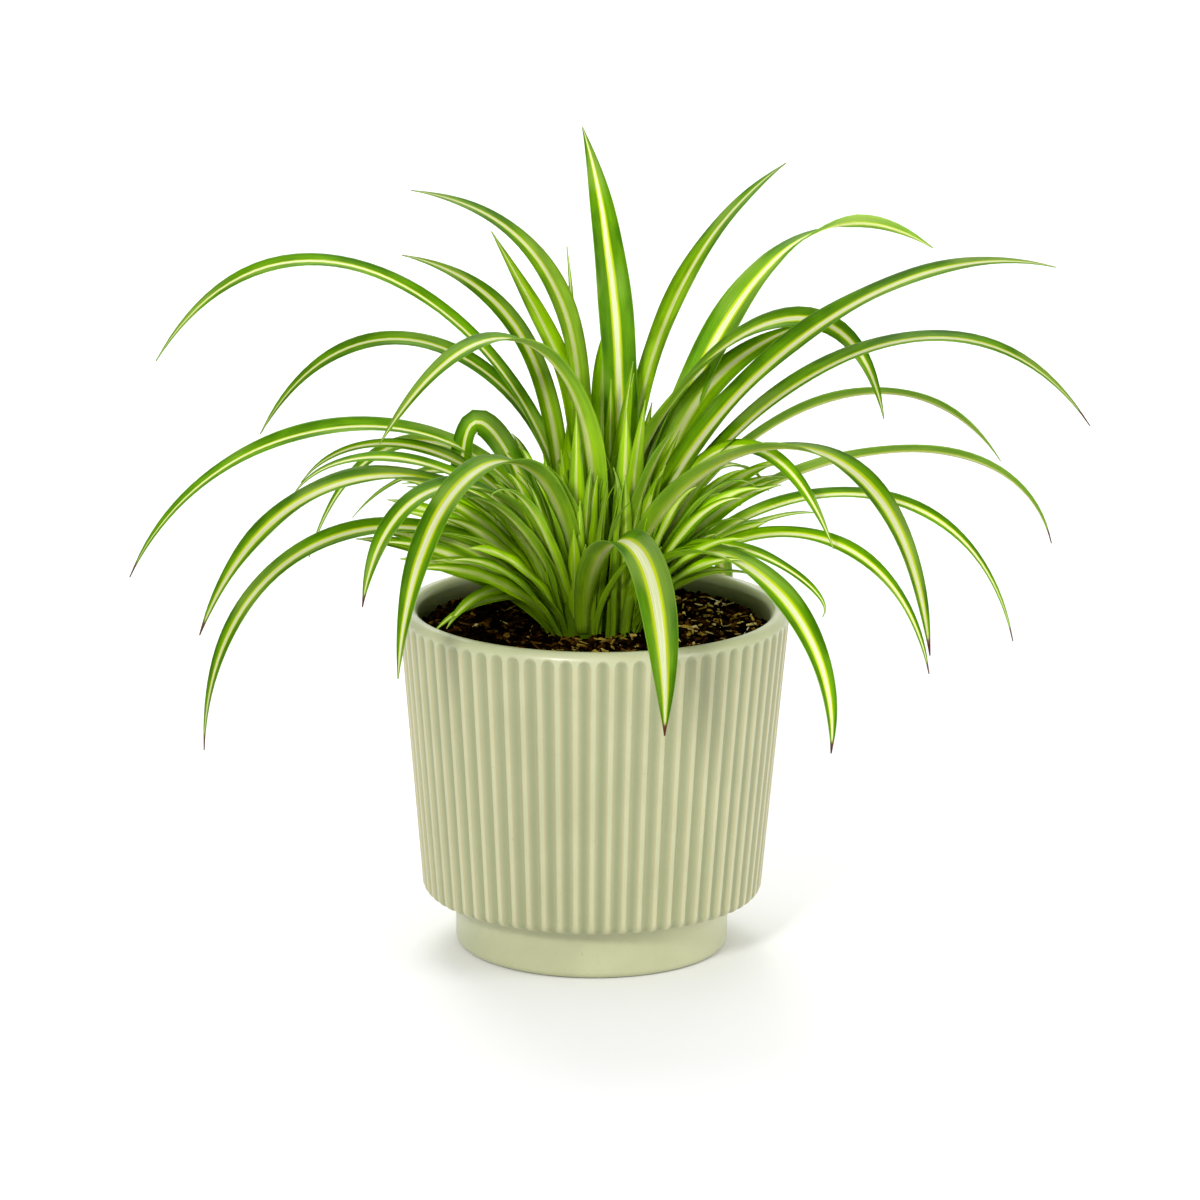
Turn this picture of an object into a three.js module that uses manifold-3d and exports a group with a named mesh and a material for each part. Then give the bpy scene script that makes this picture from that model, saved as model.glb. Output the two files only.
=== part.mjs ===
// Spider plant in a fluted, footed ceramic pot. Millimetres and degrees, +Z up.
// The origin is the middle of the pot's foot. Five crowns stand in the potting mix, and each one
// carries its own arching leaves, so each crown with its leaves is one grown piece.
import * as THREE from 'three';
import { mergeVertices } from 'three/addons/utils/BufferGeometryUtils.js';
import Module from 'manifold-3d';

const wasm = await Module();
wasm.setup();

// ---- Pot ----
const potHeight = 111.5;
const rimRadius = 62.5; // outside, just under the lip
const wallTaper = 0.088; // how much the wall leans in, per millimetre down
const lipRound = 3; // half the thickness of the rounded lip
const lipRun = 2; // the lip runs out into the inside wall this far below its middle
const footRadius = 44;
const footHeight = 17.5;
const footRing = 6; // width of the ring that the pot stands on
const footSlope = 1; // and of the slope inside it
const footHollow = 2.5; // how far the underside rises inside that ring
const footRound = 2.4;
const edgeRound = 3.4; // rounding of the body's lower edge
const wallThickness = 5.8;
const floorThickness = 6;
const insideStep = 4; // the inside narrows to the foot over this height
const fluteCount = 68;
const fluteWidth = 4.1; // groove between two lands, at the rim
const fluteDepth = 1;
const fluteTop = 109.3; // the grooves end in arches here
const fluteRun = 6; // and run out through the body's lower edge, down to this far below it

// ---- Potting mix ----
const mixLevel = 104.5;
const mixGap = 0.35; // clear all round, to the pot and to each crown
const mixBump = 1.1; // crumbs stand this far above and below the level
const mixRings = [0.8, 0.6, 0.4, 0.2]; // rings of crumbs, as shares of the mix's radius
const innerSides = 34; // sides of the pot's inside, and of the mix

// ---- Crowns and leaves ----
const crownFoot = 85;
const crownNeck = 105.5; // the stem ends here, just above the mix
const crownTop = 132; // top of the packed leaf bases
const leafFoot = 106.75; // leaves leave their crown's middle at this height
const crownSides = 8;
const stemFootShare = 0.8; // of the crown's radius, at the foot of its stem
const baseShares = [0.85, 0.6]; // of the crown's radius, half way up and at the top of its leaf bases
const leafSteps = 9; // sections along a leaf
const youngSteps = 4; // and along a young one
const bladeThickness = 0.7;
const tipLength = 0.45; // share of a leaf that narrows to its tip
const tipCurve = 2.2; // the higher, the later it narrows
const waistLength = 0.4; // share of a leaf that widens from its foot
const waistShare = 0.45; // of the full width, at the foot
const pointWidth = 0.35; // half the width of the tip itself
const sectorGap = 0.2; // each crown's leaves keep this far inside its own sector
const foldAtFoot = 0.5; // rise of the margins over the midrib, per half width
const foldAtTip = 0.12;
const foldLength = 0.55; // share of a leaf over which the fold opens
const footBias = 0.65; // sections lie closer together towards the tip, where a blade arches most

const ceramicColour = 0xb9bc90;
const mixColour = 0x2b1d14;
const leafColours = [0x6fa524, 0x68a01f, 0x75ab2a, 0x6aa222, 0x72a828];

// A leaf's midrib is one cubic curve. Its heading is the way it arches, seen from above, with 0 to
// the right (+X) and 90 to the back (+Y). rise, fall and tip are the curve's handles and its end,
// from the leaf's foot: [outwards, upwards, sideways]. width is the blade at its widest, turn is how
// far the blade is turned about its midrib at its foot and at its tip, evenly in between, and seat is
// how far from the crown's middle the leaf stands.
const leaf = (heading, rise, fall, tip, width, turn = [0, 0], seat = 3) => ({
  heading, rise, fall, tip, width, turn, seat,
});

// from and to bound each crown's own sector, seen from above. young leaves fill its middle.
const crowns = [
  {
    name: 'rosette_left',
    direction: 140,
    distance: 11,
    radius: 6.4,
    from: 97,
    to: 183,
    young: { from: 110, to: 180, count: 3 },
    leaves: [
      leaf(168, [-20, 74], [82, 162], [134, 76], 7.5, [-30, -20]),
      leaf(155, [-18, 76], [68, 120], [109, 48], 6.5, [0, -44]),
      leaf(140, [-4, 56], [-20, 131], [70, 130], 9.5, [-16, -12], -2),
      leaf(150, [1, 54], [0, 106], [61, 111], 7.5, [-26, -32], 2),
      leaf(125, [-12, 56], [-14, 82], [42, 118], 10, [0, 5]),
      leaf(172, [-1, 78], [108, 78], [140, 6], 8.5, [-6, -36], 4),
      leaf(152, [6, 55], [69, 77], [93, 7], 6.5, [-20, -50], 4),
      leaf(178, [4, 52], [62, 70], [82, 42], 6.5, [-18, -20], 4),
      leaf(101, [2, 60, -2], [4, 90, -3], [16, 117, -2], 4, [40, 40], 1),
      leaf(162, [4, 46], [44, 58], [70, 26], 7, [-10, -10], 4),
      leaf(158, [6, 40], [35, 92], [31, 52], 8, [-24, -80], 4),
      leaf(104, [8, 46], [66, 54], [76, -30], 9, [0, 0], 4),
      leaf(114, [8, 44], [60, 56], [68, -36], 9.5, [0, 0], 4),
      leaf(126, [7, 42], [50, 48], [58, 4], 8, [0, 0], 4),
    ],
  },
  {
    name: 'rosette_front_left',
    direction: 241,
    distance: 11,
    radius: 8.6,
    from: 183,
    to: 300,
    young: { from: 188, to: 246, count: 4 },
    leaves: [
      leaf(215, [-20, 62], [22, 140], [78, 69], 11, [18, -12], -3),
      leaf(196, [8, 55], [90, 82], [119, 5], 12, [12, -24], 4),
      leaf(188, [5, 54], [71, 71], [87, 45], 7, [-24, -12], 4),
      leaf(200, [30, 54], [118, 54], [120, -30], 8, [-34, -14], 4),
      leaf(222, [5, 55], [75, 78], [85, 21], 10, [-10, -10], 4),
      leaf(232, [-5, 78], [78, 84], [86, 1], 11.5),
      leaf(200, [6, 18], [30, 20], [40, 3], 5.5, [-18, -28], 4),
      leaf(290, [-4, 36], [74, 70], [72, -15], 13, [15, 0], 8),
    ],
  },
  {
    name: 'rosette_front_right',
    direction: 326,
    distance: 11.5,
    radius: 4.8,
    from: 300,
    to: 353,
    young: { from: 318, to: 350, count: 4 },
    leaves: [
      leaf(350, [-1, 56], [72, 134], [133, 122], 12, [48, 12], 2),
      leaf(343, [4, 58], [98, 143], [147, 76], 11, [46, -2]),
      leaf(349, [24, 52], [105, 71], [121, 2], 7.5, [24, 8], 4),
      leaf(325, [-4, 56], [98, 113], [113, 8], 12, [-28, 14], 2),
      leaf(335, [4, 55], [43, 91], [68, 33], 6.5, [36, 30], 4),
      leaf(340, [24, 44], [86, 51], [98, -6], 7.5, [28, 8], 4),
      leaf(315, [10, 53], [92, 32], [87, -24], 11, [0, 5], 4),
      leaf(328, [4, 54], [79, 24], [69, 13], 6, [10, 10], 4),
    ],
  },
  {
    name: 'rosette_right',
    direction: 15,
    distance: 12,
    radius: 4.2,
    from: -7,
    to: 37,
    young: { from: -4, to: 34, count: 3 },
    leaves: [
      leaf(25, [3, 55], [40, 156], [104, 113], 12.5, [20, -6]),
      leaf(14, [3, 55], [17, 83], [54, 94], 10.5, [30, 0]),
      leaf(357, [-18, 64], [66, 145], [82, 67], 10, [-56, 34], -2),
      leaf(12, [6, 55], [82, 101], [118, 47], 8, [-54, -20], 4),
      leaf(5, [11, 49], [117, 81], [132, 23], 7.5, [-48, -24], 4),
      leaf(31, [6, 44], [36, 58], [48, 36], 6.5, [0, 0], 4),
    ],
  },
  {
    name: 'rosette_back',
    direction: 67,
    distance: 11.5,
    radius: 5.3,
    from: 37,
    to: 97,
    young: { from: 48, to: 94, count: 4 },
    leaves: [
      leaf(91, [4, 60, -7], [14, 120, -2], [44, 151, 9], 12, [12, 16], -2),
      leaf(48, [5, 60], [16, 113], [82, 136], 8.5, [-6, 8]),
      leaf(58, [7, 44], [60, 60], [74, -26], 9, [0, 0], 4),
      leaf(66, [8, 46], [66, 60], [80, -36], 9.5, [0, 0], 4),
      leaf(74, [7, 42], [56, 52], [74, -20], 9, [0, 0], 4),
      leaf(83, [8, 44], [64, 50], [74, -42], 9.5, [0, 0], 4),
      leaf(93, [6, 40], [48, 48], [66, -14], 8, [0, 0], 4),
    ],
  },
];

// ---- Helpers ----
const nearly = 0.01; // two places closer than this are the same
const toRadians = THREE.MathUtils.degToRad;

// Park and Miller's draw, the same on every run.
function seededDraw(seed) {
  let state = seed;
  return (low, high) => {
    state = (state * 16807) % 2147483647;
    return low + ((high - low) * state) / 2147483647;
  };
}

function solidFrom(geometry) {
  const bare = geometry.index ? geometry.clone() : mergeVertices(geometry);
  bare.deleteAttribute('normal');
  bare.deleteAttribute('uv');
  const merged = mergeVertices(bare, 1e-4);
  return new wasm.Manifold(new wasm.Mesh({
    numProp: 3,
    vertProperties: new Float32Array(merged.attributes.position.array),
    triVerts: new Uint32Array(merged.index.array),
  }));
}

function geometryFrom(solid) {
  const mesh = solid.getMesh();
  const geometry = new THREE.BufferGeometry();
  geometry.setAttribute('position', new THREE.BufferAttribute(mesh.vertProperties, 3));
  geometry.setIndex(new THREE.BufferAttribute(mesh.triVerts, 1));
  geometry.computeVertexNormals();
  return geometry;
}

// A hollow sealed by fusing is filled, and a scrap that hangs loose is dropped.
function largestBody(solid) {
  return solid.decompose().reduce((kept, body) => (body.volume() > kept.volume() ? body : kept));
}

// A turned solid about Z. The profile is [radius, height] points, and the lathe turns about Y.
function turned(profile, sides) {
  const points = profile.map(([radius, height]) => new THREE.Vector2(radius, height));
  const geometry = new THREE.LatheGeometry(points, sides);
  geometry.rotateX(Math.PI / 2);
  return solidFrom(geometry);
}

function arc(centreRadius, centreHeight, round, from, to, steps) {
  return Array.from({ length: steps + 1 }, (_, step) => {
    const angle = toRadians(from + ((to - from) * step) / steps);
    return [centreRadius + round * Math.cos(angle), centreHeight + round * Math.sin(angle)];
  });
}

// ---- Pot ----
const wallRadius = (height) => rimRadius - wallTaper * (potHeight - lipRound - height);
const innerRadius = (height) => wallRadius(height) - wallThickness;
const innerFootRadius = footRadius - wallThickness;
const innerStep = footHeight + floorThickness;

// The hollow of the pot, drawn in by a gap for what fills it, up to the given top.
function hollowProfile(gap, top) {
  return [
    [0, footHollow + floorThickness + gap],
    [innerFootRadius - gap, footHollow + floorThickness + gap],
    [innerFootRadius - gap, innerStep - insideStep + gap],
    [innerFootRadius + insideStep - gap, innerStep + gap],
    [innerRadius(innerStep) - insideStep - gap, innerStep + gap],
    [innerRadius(innerStep + insideStep) - gap, innerStep + insideStep + gap],
    [innerRadius(top) - gap, top],
    [0, top],
  ];
}

// A six-sided bar with a flat side inwards. Its round is such that it cuts the groove's width where
// it lies the groove's depth in the wall, and it leans with the wall.
function fluteCutter(index) {
  const halfSide = Math.PI / 6;
  const flatToMiddle = ((fluteWidth / 2) ** 2 + fluteDepth ** 2) / (2 * fluteDepth);
  const bottom = footHeight - fluteRun;
  const length = fluteTop - fluteWidth / 2 - bottom;
  const cutter = new THREE.CapsuleGeometry(flatToMiddle / Math.cos(halfSide), length, 1, 6);
  cutter.rotateY(halfSide);
  cutter.rotateX(Math.PI / 2);
  cutter.rotateY(Math.atan(wallTaper));
  const middle = bottom + length / 2;
  cutter.translate(wallRadius(middle) + flatToMiddle - fluteDepth, 0, middle);
  cutter.rotateZ(((index + 0.5) / fluteCount) * Math.PI * 2);
  return solidFrom(cutter);
}

function makePot() {
  const lipHeight = potHeight - lipRound;
  const lipCentre = rimRadius - lipRound;
  const bodyFoot = wallRadius(footHeight + edgeRound);
  const above = potHeight + lipRound;
  const outside = turned([
    [0, footHollow],
    [footRadius - footRing - footSlope, footHollow],
    [footRadius - footRing, 0],
    ...arc(footRadius - footRound, footRound, footRound, -90, 0, 2),
    [footRadius, footHeight],
    ...arc(bodyFoot - edgeRound, footHeight + edgeRound, edgeRound, -90, 0, 2),
    ...arc(lipCentre, lipHeight, lipRound, 0, 90, 2),
    [0, potHeight],
  ], fluteCount);
  const flutes = Array.from({ length: fluteCount }, (_, index) => fluteCutter(index));
  const fluted = flutes.reduce((body, cutter) => body.subtract(cutter), outside);
  const lipInside = arc(lipCentre, lipHeight, lipRound, 180, 90, 3);
  const mouth = turned([
    ...hollowProfile(0, lipHeight - lipRun).slice(0, -1),
    ...lipInside,
    [lipCentre, above],
    [0, above],
  ], innerSides);
  return fluted.subtract(mouth);
}

// ---- Potting mix ----
function crownCentre(crown) {
  const direction = toRadians(crown.direction);
  return new THREE.Vector2(
    crown.distance * Math.cos(direction),
    crown.distance * Math.sin(direction),
  );
}

// What a crown's stem leaves free in the mix: its plain round shape, larger by the gap.
function crownHole(crown, extra) {
  const centre = crownCentre(crown);
  const stem = turned([
    [0, crownFoot - extra],
    [crown.radius * stemFootShare + extra, crownFoot - extra],
    [crown.radius + extra, crownNeck + extra],
    [0, crownNeck + extra],
  ], crownSides);
  return stem.translate([centre.x, centre.y, 0]);
}

// The stem and, above it, the cone of leaf bases packed round each other.
function crownCore(crown) {
  const centre = crownCentre(crown);
  const core = turned([
    [0, crownFoot],
    [crown.radius * stemFootShare, crownFoot],
    [crown.radius, crownNeck],
    [crown.radius * baseShares[0], (crownNeck + crownTop) / 2],
    [crown.radius * baseShares[1], crownTop],
    [0, crownTop],
  ], crownSides);
  return core.translate([centre.x, centre.y, 0]);
}

function makeMix() {
  const draw = seededDraw(41);
  const profile = hollowProfile(mixGap, mixLevel);
  const rings = mixRings.map((part) => [part * profile.at(-2)[0], mixLevel]);
  const points = [...profile.slice(0, -1), ...rings, [0, mixLevel]]
    .map(([radius, height]) => new THREE.Vector2(radius, height));
  const geometry = new THREE.LatheGeometry(points, innerSides);
  geometry.rotateX(Math.PI / 2);
  geometry.deleteAttribute('normal');
  geometry.deleteAttribute('uv');
  const crumbled = mergeVertices(geometry, 1e-3);
  const position = crumbled.attributes.position;
  const edge = innerRadius(mixLevel) - mixGap - nearly;
  for (let i = 0; i < position.count; i += 1) {
    const radius = Math.hypot(position.getX(i), position.getY(i));
    const onTop = Math.abs(position.getZ(i) - mixLevel) < nearly;
    if (onTop && radius < edge) position.setZ(i, mixLevel + draw(-mixBump, mixBump));
  }
  return crowns.reduce((mix, crown) => mix.subtract(crownHole(crown, mixGap)), solidFrom(crumbled));
}

// ---- Leaves ----
// Widest near the middle, drawn in towards the foot, and ending in a fine point.
function bladeHalfWidth(width, along) {
  const fromTip = Math.min(1, (1 - along) / tipLength);
  const fromFoot = Math.min(1, along / waistLength);
  const taper = 1 - (1 - fromTip) ** tipCurve;
  const waist = THREE.MathUtils.lerp(waistShare, 1, Math.sin((fromFoot * Math.PI) / 2));
  return Math.max(pointWidth, (width / 2) * taper * waist);
}

// How far a section has to move sideways to stay in its crown's sector, seen from above.
function moveIntoSector(crown, points) {
  const from = toRadians(crown.from);
  const to = toRadians(crown.to);
  const inward = [
    new THREE.Vector3(-Math.sin(from), Math.cos(from), 0),
    new THREE.Vector3(Math.sin(to), -Math.cos(to), 0),
  ];
  for (const normal of inward) {
    const depth = Math.min(...points.map((point) => point.dot(normal)));
    if (depth < sectorGap) points.forEach((point) => point.addScaledVector(normal, sectorGap - depth));
  }
}

// The blade's sections follow the midrib. A folded blade has six points in each section, with its
// midrib sunk below its margins, and a flat one has four. Both faces are split alike.
function bladeGeometry(crown, shape, steps, folded) {
  const heading = toRadians(shape.heading);
  const out = new THREE.Vector3(Math.cos(heading), Math.sin(heading), 0);
  const side = new THREE.Vector3(-Math.sin(heading), Math.cos(heading), 0);
  const centre = crownCentre(crown);
  const foot = new THREE.Vector3(centre.x, centre.y, leafFoot).addScaledVector(out, shape.seat);
  const place = ([outwards, upwards, sideways = 0]) => foot.clone()
    .addScaledVector(out, outwards)
    .addScaledVector(side, sideways)
    .add(new THREE.Vector3(0, 0, upwards));
  const midrib = new THREE.CubicBezierCurve3(foot, place(shape.rise), place(shape.fall), place(shape.tip));
  const size = folded ? 6 : 4;
  const positions = [];
  for (let step = 0; step <= steps; step += 1) {
    const along = (step / steps) ** footBias;
    const point = midrib.getPointAt(along);
    const tangent = midrib.getTangentAt(along);
    const turn = toRadians(THREE.MathUtils.lerp(...shape.turn, along));
    const across = side.clone().addScaledVector(tangent, -side.dot(tangent)).normalize()
      .applyAxisAngle(tangent, turn);
    const upper = new THREE.Vector3().crossVectors(tangent, across);
    const half = bladeHalfWidth(shape.width, along);
    const opened = Math.min(1, along / foldLength);
    const lift = folded ? half * THREE.MathUtils.lerp(foldAtFoot, foldAtTip, opened) : 0;
    const reach = Math.sqrt(half * half - lift * lift);
    const margin = (way) => point.clone().addScaledVector(across, way * reach).addScaledVector(upper, lift);
    const face = folded ? [margin(1), point.clone(), margin(-1)] : [margin(1), margin(-1)];
    const under = face.map((top) => top.clone().addScaledVector(upper, -bladeThickness)).reverse();
    const section = [...face, ...under];
    moveIntoSector(crown, section);
    section.forEach((corner) => positions.push(...corner.toArray()));
  }
  const index = [];
  const span = size / 2 - 1;
  const quad = (a, b, c, d) => index.push(a, b, c, a, c, d);
  for (let step = 0; step < steps; step += 1) {
    const near = step * size;
    const far = near + size;
    for (let k = 0; k < span; k += 1) {
      const low = size - 1 - k;
      quad(near + k, near + k + 1, far + k + 1, far + k);
      quad(near + low, far + low, far + low - 1, near + low - 1);
    }
    quad(near + span, near + span + 1, far + span + 1, far + span);
    quad(near + size - 1, near, far, far + size - 1);
  }
  const last = steps * size;
  for (let k = 0; k < span; k += 1) {
    const low = size - 1 - k;
    quad(k, low, low - 1, k + 1);
    quad(last + k, last + k + 1, last + low - 1, last + low);
  }
  const geometry = new THREE.BufferGeometry();
  geometry.setAttribute('position', new THREE.Float32BufferAttribute(positions, 3));
  geometry.setIndex(index);
  return geometry;
}

// Narrow young leaves lean outwards all over the crown's sector, and one stands almost upright.
function youngLeaves(crown, seed) {
  const draw = seededDraw(seed);
  const { from, to, count } = crown.young;
  const leaning = Array.from({ length: count }, (_, index) => {
    const heading = from + ((to - from) * (index + draw(0.2, 0.8))) / count;
    const reach = draw(38, 62);
    const height = draw(24, 60);
    const level = draw(0.8, 1);
    return leaf(heading, [reach * 0.26, height * 0.55], [reach * 0.66, height],
      [reach, height * level], draw(4.5, 7), [draw(-20, 20), 0], draw(1, 4));
  });
  const height = draw(56, 84);
  const upright = leaf(crown.direction, [0, height * 0.4], [draw(2, 6), height * 0.75],
    [draw(9, 20), height], draw(7, 9), [0, 0], draw(-2, 2));
  return [...leaning, upright];
}

function makeRosette(crown, index) {
  const blades = [
    ...crown.leaves.map((shape) => bladeGeometry(crown, shape, leafSteps, true)),
    ...youngLeaves(crown, 100 + index).map((shape) => bladeGeometry(crown, shape, youngSteps, false)),
  ];
  return largestBody(blades.reduce((grown, blade) => grown.add(solidFrom(blade)), crownCore(crown)));
}

// ---- The whole plant ----
function addPiece(group, name, solid, colour, roughness) {
  const material = new THREE.MeshStandardMaterial({ color: colour, roughness, metalness: 0 });
  const mesh = new THREE.Mesh(geometryFrom(solid), material);
  mesh.name = name;
  group.add(mesh);
}

const pottedPlant = new THREE.Group();
addPiece(pottedPlant, 'pot', makePot(), ceramicColour, 0.35);
addPiece(pottedPlant, 'potting_mix', makeMix(), mixColour, 0.95);
crowns.forEach((crown, index) => {
  addPiece(pottedPlant, crown.name, makeRosette(crown, index), leafColours[index], 0.5);
});

export default pottedPlant;
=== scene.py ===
"""The look of the potted spider plant: a fluted glazed pot, crumbly potting mix and striped leaves.

Lengths are in millimetres until a mesh is made, and then in metres. +Z is up, -Y faces the camera.
"""
import math

import bpy
import numpy as np
from mathutils import Matrix, Vector


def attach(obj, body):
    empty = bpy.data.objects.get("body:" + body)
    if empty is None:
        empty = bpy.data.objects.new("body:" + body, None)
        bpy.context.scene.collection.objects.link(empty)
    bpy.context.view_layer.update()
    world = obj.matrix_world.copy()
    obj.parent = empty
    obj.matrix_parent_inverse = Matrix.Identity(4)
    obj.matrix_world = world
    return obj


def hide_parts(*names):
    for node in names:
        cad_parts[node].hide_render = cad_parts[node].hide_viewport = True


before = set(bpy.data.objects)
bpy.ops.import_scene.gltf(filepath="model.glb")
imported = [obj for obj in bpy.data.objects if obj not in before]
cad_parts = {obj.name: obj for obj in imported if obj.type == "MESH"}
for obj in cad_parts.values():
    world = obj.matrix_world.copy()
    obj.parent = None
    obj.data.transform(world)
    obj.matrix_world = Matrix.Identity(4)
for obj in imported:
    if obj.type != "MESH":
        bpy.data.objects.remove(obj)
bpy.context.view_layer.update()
MM = 0.001

# ---- Pot, as the solid pot is built ----
POT_HEIGHT = 111.5
RIM_RADIUS = 62.5
WALL_TAPER = 0.088
LIP_ROUND = 3.0
LIP_STEPS = 22
FOOT_RADIUS = 44.0
FOOT_HEIGHT = 17.5
FOOT_RING = 6.0
FOOT_HOLLOW = 2.5
FOOT_ROUND = 2.4
EDGE_ROUND = 3.4
WALL_THICKNESS = 5.8
FLOOR_THICKNESS = 6.0
INSIDE_STEP = 4.0
FLUTE_COUNT = 68
FLUTE_WIDTH = 4.1
FLUTE_DEPTH = 1.0
FLUTE_TOP = 109.3
FLUTE_PITCH = 2 * math.pi * RIM_RADIUS / FLUTE_COUNT
# A flute gets deeper over this height at its foot, and has close rings of points in its arch.
FLUTE_START = 1.2
ARCH_RINGS = [FLUTE_TOP - 2.24 + 0.14 * k for k in range(17)]
# Where a flute has points, as shares of its half width from its middle: 1 is its border.
FLUTE_POINTS = (0.22, 0.44, 0.62, 0.78, 0.9, 0.98, 1.04, 1.16)
WORN_BORDER = (0.9, 1.1)
# The inside of the pot is darkened with painted shade from this far below the rim, and wholly so below
# the next stretch.
INNER_SHADE_START = 1.0
INNER_SHADE_STRETCH = 5.0
# The radius of the ring that closes a profile in the middle.
CLOSED = 0.01

# ---- Potting mix ----
MIX_LEVEL = 104.5
MIX_GAP = 0.35
MIX_SEED, CHIP_SEED = 41, 77
CRUMB_WAVES = 60
CRUMB_RELIEF = 0.45
CRUMB_SINK = 0.2
CHIP_COUNT = 2400
CHIP_MARGIN = 2.5
CHIP_CLEAR = 4.5
# Chips get darker towards the shaded side as painted shade, down to this share as bright, but for a few
# flecks.
DARKEST_SIDE = 0.6
FLECK_SHARE = 0.06
# Fibres, flakes and crumbs: the draw that each kind needs, the ranges of its length, width,
# thickness and brightness, and how far it tilts.
CHIP_KINDS = (
    (0.90, (3.2, 7.5), (0.35, 0.7), (0.3, 0.5), (0.62, 1), 0.35),
    (0.72, (2.2, 5.0), (1.2, 2.4), (0.4, 1.0), (0.3, 0.95), 0.5),
    (0.0, (0.8, 2.4), (0.7, 1.8), (0.5, 1.4), (0, 0.55), 0.7),
)

# ---- Crowns and blades ----
CROWN_FOOT = 85.0
CORE_AROUND = 24
# The core of a crown from its foot up: shares of the crown's radius, and heights.
CORE_PROFILE = ((0.8, CROWN_FOOT), (0.85, MIX_LEVEL), (0.85, MIX_LEVEL + 6), (0.6, MIX_LEVEL + 16),
                (0.3, MIX_LEVEL + 25))
CORE_TOP = MIX_LEVEL + 26
LEAF_FOOT = 106.75
BLADE_STEPS = 48
BLADE_COLUMNS = 10
SECTION_SIZE = 2 * (BLADE_COLUMNS + 1)
# A blade's thickness at its margins, how much more of it there is along its midrib, how that fades
# out to the margins, and half the width of a blade that has all of it.
MARGIN_THICKNESS = 0.22
MIDRIB_THICKNESS = 0.34
MIDRIB_CURVE = 0.6
MIDRIB_FULL = 2.0
FINEST_TIP = 0.18
TIP_CURVE = 2.2
WAIST_LENGTH = 0.4
# The fold along a midrib: how steep it is, as a sine, where it ends, and how it curves.
FOLD_AT_FOOT = 0.5
FOLD_AT_TIP = 0.2
FOLD_LENGTH = 0.75
FOLD_CURVE = 1.35
RIPPLE = 0.06
# About a whole turn in radians, for ripples and random directions.
ROUND_TURN = 6.28
# How far leaves stay inside their crown's sector, and over how many steps each way they move.
SECTOR_GAP = 0.2
SWEEP = 4
# Fan leaves crowd together towards the edge of their sector, as the bias is above 1. They stay
# below a height, and those that point to a side, by the cosine of their heading, may lie lower.
FAN_BIAS = 1.5
FAN_HEIGHT = 58
FAN_TO_A_SIDE = 0.6
# Sheaths are shorter at the front. Within some degrees of these leaves, whose feet they would
# hide, they stand nearer to the middle of their crown.
SHEATH = dict(waist=1.0, taper=0.5, sunk=3.6, stripe=0.35)
SHEATHS_PER_RADIUS = 3.0
FRONT_SHORTER = 0.7
FRONT_LEAVES = (232, 290)
FRONT_CLEAR = 24
STOOD_BACK = 0.3
# Leaves that fill the seams between crowns: degrees in from the seam, and places along it.
SEAM_TURN = 7
SEAM_PLACES = (6, 8.5, 11, 13.5, 16)
# The sheet that holds every blade of a crown in rows: its side margins, and how full a row is.
SHEET_MARGIN = 0.01
ROW_FILL = 0.94
CORE_FILL = 0.05
# The colours of both faces of a blade, as written for a screen, with a pale grey-green for a painted
# sheen.
UPPER_COLOURS = dict(stripe="E0E5B4", line="C6D41C", blade="679C02", margin="3B6800",
                     edge="8CC030", painted_sheen="93B04C", young="B0E000", young_stripe="E8F08C")
UNDER_COLOURS = dict(stripe="DCE2A0", line="C2D23A", blade="8AB43C", margin="6C9828",
                     edge="A8CC58", painted_sheen="A4BC5C", young="AEDE04", young_stripe="E4EC8A")
UPPER_ROUGHNESS = 0.36
UNDER_ROUGHNESS = 0.5
# How much of a blade's look is light that passes through it.
GLOW = 0.18
# Seeds, to which a crown's place in the list is added.
BLADE_SEED = 300
YOUNG_SEED, FAN_SEED, HEART_SEED, SHEATH_SEED, SEAM_SEED = 100, 200, 400, 500, 600

# ---- Camera, as fitted to the photo: it looks at a point at AIM_X and AIM_HEIGHT ----
AIM_X = 1.8
AIM_HEIGHT = 113.35
CAMERA_DISTANCE = 1900.0
CAMERA_ELEVATION = 14.1
CAMERA_ROLL = 0.5
FOCAL_LENGTH = 178.0

# ---- Studio, in metres ----
# Round lamps: name, place, the point each is aimed at, width and power.
LAMPS = (
    ("key", (-0.7, -1.85, 1.15), (0, 0, 0.12), 0.4, 27),
    ("side", (1.65, -0.7, 0.8), (0, 0, 0.12), 1.0, 15),
    ("back", (-0.3, 1.2, 1.5), (0, 0, 0.15), 1.0, 12),
    ("far_floor", (0, 2.0, 2.0), (0, 2.2, 0), 2.0, 22),
)

# ---- Rows of leaves ----
USUAL_LEAF = dict(brown=0.0, waist=0.8, taper=0.45, lime=75, sunk=0.0, stripe=0.75, wave=1.0, bright=0.0)


def leaf(heading, rise, fall, tip, width, turn=(0, 0), seat=3.0, **special):
    """One leaf.

    heading is the way it arches, seen from above, with 0 to the right and 90 to the back.
    rise, fall and tip are its midrib's handles and end: outwards, upwards and sideways.
    turn is how far it is turned about its midrib, in degrees at even steps from foot to tip.
    seat is how far from the middle of its crown it stands, and sunk how far below others.
    waist is its width at the foot, as a share of width, and taper the share of it that narrows.
    brown is 1 where its tip is dry.
    lime is how far up it is a bright lime green, and stripe how wide its stripe is beside the widest.
    wave is how much its margins undulate beside most leaves, and bright is above 0 where it is paler and
    below 0 where it is darker; on the fan leaves it is painted light, against the shade they cast on each
    other.
    """
    return dict(USUAL_LEAF, heading=heading, rise=rise, fall=fall, tip=tip, width=width, turn=turn,
                seat=seat, **special)


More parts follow.
